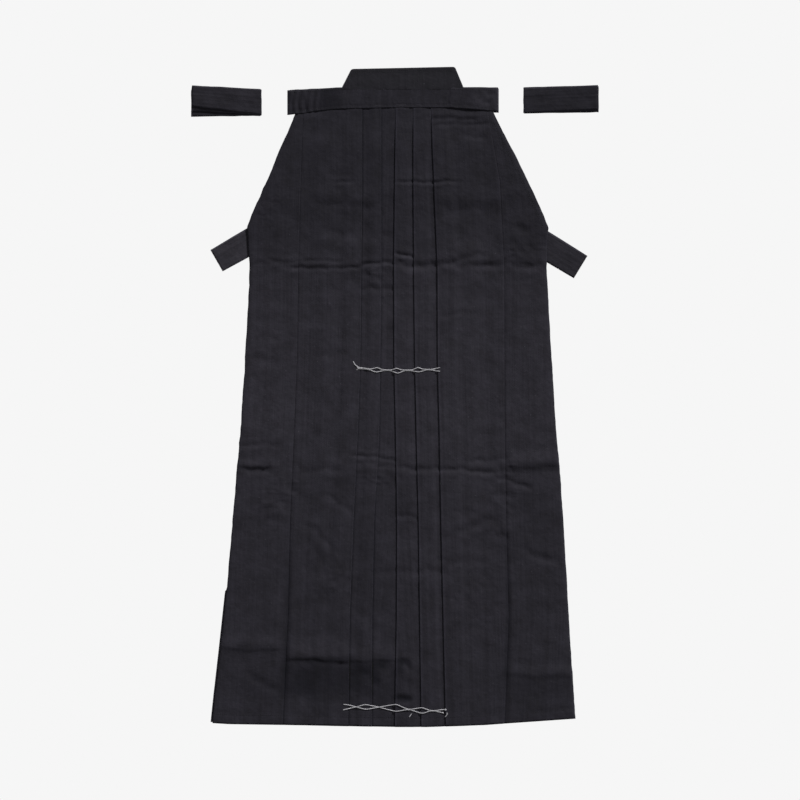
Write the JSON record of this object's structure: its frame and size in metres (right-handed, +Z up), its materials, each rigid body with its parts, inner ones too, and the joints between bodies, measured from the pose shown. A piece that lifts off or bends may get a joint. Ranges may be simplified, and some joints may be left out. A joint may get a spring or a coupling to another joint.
{
  "type": "hakama trousers",
  "caption": "Pleated hakama trousers laid flat, front up, with a band, a stiff back board, crossed back ties and front ties folded into bundles.",
  "frame": {"origin": "on the surface that the garment lies on, at the middle of its bounding box", "axes": "+Y to the waist, +X to the wearer's left, +Z up from the surface, the garment's front facing +Z"},
  "size_m": [0.6534, 1.0561, 0.0102],
  "materials": {
    "black_twill": "matt black cotton twill with a slight violet-blue tint, fine diagonal weave, pressed pleats",
    "band_twill": "the same twill, doubled and stiffened, stitched along its lower edge",
    "board_twill": "the same twill drawn smooth over a stiff board",
    "tie_twill": "the same twill folded double into flat ties, edge stitched"
  },
  "bodies": {
    "root": {"back_right": "black_twill", "back_left": "black_twill", "gusset": "black_twill", "front_right": "black_twill", "front_left": "black_twill", "front_side_right": "black_twill", "front_side_left": "black_twill", "front_band": "band_twill", "back_board": "board_twill", "back_tie_right": "tie_twill", "back_tie_left": "tie_twill", "front_tie_right": "tie_twill", "front_tie_left": "tie_twill"}
  },
  "joints": []
}
